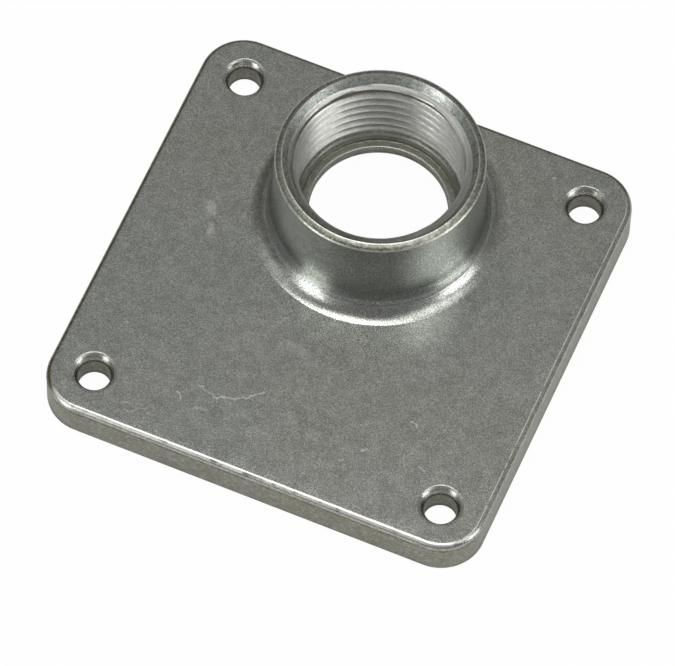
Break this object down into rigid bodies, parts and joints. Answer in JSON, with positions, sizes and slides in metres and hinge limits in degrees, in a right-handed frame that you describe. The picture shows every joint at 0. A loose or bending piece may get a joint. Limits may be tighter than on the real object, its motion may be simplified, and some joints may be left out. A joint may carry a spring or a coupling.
{
  "type": "raintight conduit hub",
  "caption": "Die-cast square plate with an offset threaded collar that takes a rigid conduit into the top of an electrical enclosure.",
  "frame": {"origin": "centre of the mounting face, on the plane that bears on the enclosure", "axes": "+Z out of the enclosure along the conduit thread, +Y towards the plate edge that the collar stands nearest to, +X to the right"},
  "size_m": [0.0834, 0.0834, 0.0269],
  "materials": {
    "cast_body": "satin as-cast, slightly mottled, bright on worn arrises"
  },
  "bodies": {
    "root": {"hub_casting": "cast_body"}
  },
  "joints": []
}
